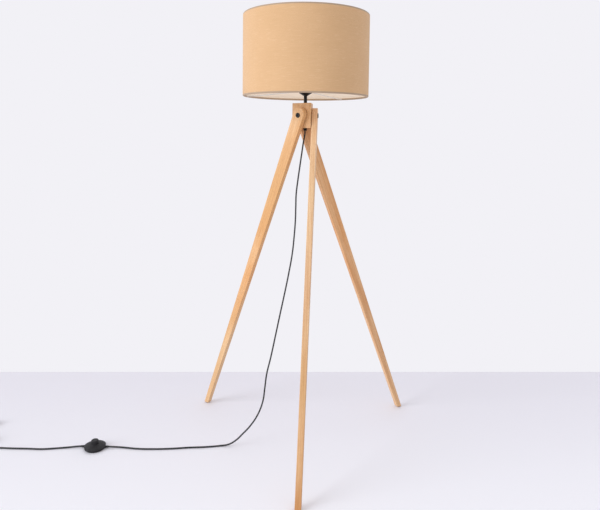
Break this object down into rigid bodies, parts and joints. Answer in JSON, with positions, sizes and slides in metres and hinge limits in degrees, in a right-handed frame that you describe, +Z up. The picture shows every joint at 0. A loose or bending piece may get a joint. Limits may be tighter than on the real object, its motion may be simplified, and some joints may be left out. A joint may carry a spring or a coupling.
{
  "type": "tripod floor lamp",
  "caption": "Tripod floor lamp: tapered wooden legs pivoting on a triangular hub, a short black stem, a fabric drum shade, and a black cord with a round foot switch.",
  "frame": {"origin": "on the floor, at the middle of the lamp's footprint box without the cord", "axes": "+Z up; the front leg points along -Y; +X to the right as seen from the front"},
  "size_m": [1.5979, 0.7106, 1.5332],
  "materials": {
    "beech": "clear satin lacquer",
    "black_steel": "black satin",
    "zinc_steel": "bright zinc",
    "brass": "plain",
    "fibre": "vulcanised fibre",
    "glide_plastic": "brown-grey nylon",
    "black_plastic": "black, low gloss",
    "black_rubber": "black",
    "cord": "black PVC sheath",
    "ceramic": "white ceramic",
    "white_plastic": "white",
    "opal": "opal diffuser",
    "white_steel": "white powder coat",
    "shade_liner": "white film",
    "shade_fabric": "sand-coloured plain weave"
  },
  "bodies": {
    "hub_and_holder": {"hub": "beech", "threaded_rod": "zinc_steel", "stem_sleeve": "black_steel", "hub_washer": "zinc_steel", "hub_nut": "zinc_steel", "holder_nut": "zinc_steel", "cord_gland": "black_plastic", "cord_in_stem": "cord", "holder_cap": "black_plastic", "holder_body": "black_plastic", "holder_insulator": "ceramic", "holder_screw_shell": "brass", "holder_contact": "brass", "shade_clamp_ring": "black_plastic", "pivot_bolt_left": "black_steel", "pivot_washer_left": "fibre", "pivot_insert_left": "brass", "pivot_bolt_front": "black_steel", "pivot_washer_front": "fibre", "pivot_insert_front": "brass", "pivot_bolt_right": "black_steel", "pivot_washer_right": "fibre", "pivot_insert_right": "brass", "cord_upper": "cord", "cord_lower": "cord", "cord_tail": "cord", "cord_coil": "cord", "cord_tie": "black_rubber", "plug_boot": "black_plastic", "plug_body": "black_plastic", "plug_pin_a": "zinc_steel", "plug_pin_b": "zinc_steel", "switch_pad": "black_rubber", "switch_base": "black_plastic", "switch_shell": "black_plastic", "switch_contact_block": "white_plastic", "switch_spring": "zinc_steel", "switch_relief_in": "black_rubber", "switch_relief_out": "black_rubber", "switch_screw_a": "zinc_steel", "switch_screw_b": "zinc_steel"},
    "leg_left": {"leg_left": "beech", "glide_left": "glide_plastic"},
    "leg_front": {"leg_front": "beech", "glide_front": "glide_plastic"},
    "leg_right": {"leg_right": "beech", "glide_right": "glide_plastic"},
    "shade": {"shade_carrier": "white_steel", "shade_ring_upper": "white_steel", "shade_liner": "shade_liner", "shade_fabric": "shade_fabric"},
    "bulb_tip": {"bulb_contact": "zinc_steel"},
    "bulb": {"bulb_cap": "zinc_steel", "bulb_body": "white_plastic", "bulb_led_board": "white_plastic", "bulb_dome": "opal"},
    "switch_button": {"switch_button": "black_plastic"}
  },
  "joints": [
    {"name": "leg_left_splay", "type": "hinge", "parent": "hub_and_holder", "child": "leg_left", "pos_m": [-0.02296, 0.08073, 1.17965], "axis": [0.5764, 0.8171, 0], "range_deg": [-14.5, 9]},
    {"name": "leg_front_splay", "type": "hinge", "parent": "hub_and_holder", "child": "leg_front", "pos_m": [0.03231, 0.10626, 1.17965], "axis": [-0.9959, 0.0906, 0], "range_deg": [-14.5, 9]},
    {"name": "leg_right_splay", "type": "hinge", "parent": "hub_and_holder", "child": "leg_right", "pos_m": [-0.01744, 0.14136, 1.17965], "axis": [0.4195, -0.9078, 0], "range_deg": [-14.5, 9]},
    {"name": "shade_turn", "type": "hinge", "parent": "hub_and_holder", "child": "shade", "pos_m": [-0.0027, 0.10945, 1.26325], "axis": [0, 0, 1], "continuous": true},
    {"name": "bulb_lift", "type": "slide", "parent": "hub_and_holder", "child": "bulb_tip", "axis": [0, 0, 1], "range_m": [0, 0.0109]},
    {"name": "bulb_screw", "type": "hinge", "parent": "bulb_tip", "child": "bulb", "pos_m": [-0.0027, 0.10945, 1.28], "axis": [0, 0, 1], "range_deg": [0, 1080]},
    {"name": "switch_press", "type": "slide", "parent": "hub_and_holder", "child": "switch_button", "axis": [0, 0, -1], "range_m": [0, 0.004], "stiffness_N_per_m": 900, "springref_m": -0.002, "deforming": ["switch_spring"]}
  ],
  "couplings": [
    {"joint": "bulb_lift", "follows": "bulb_screw", "m_per_rad": 0.0005776}
  ]
}
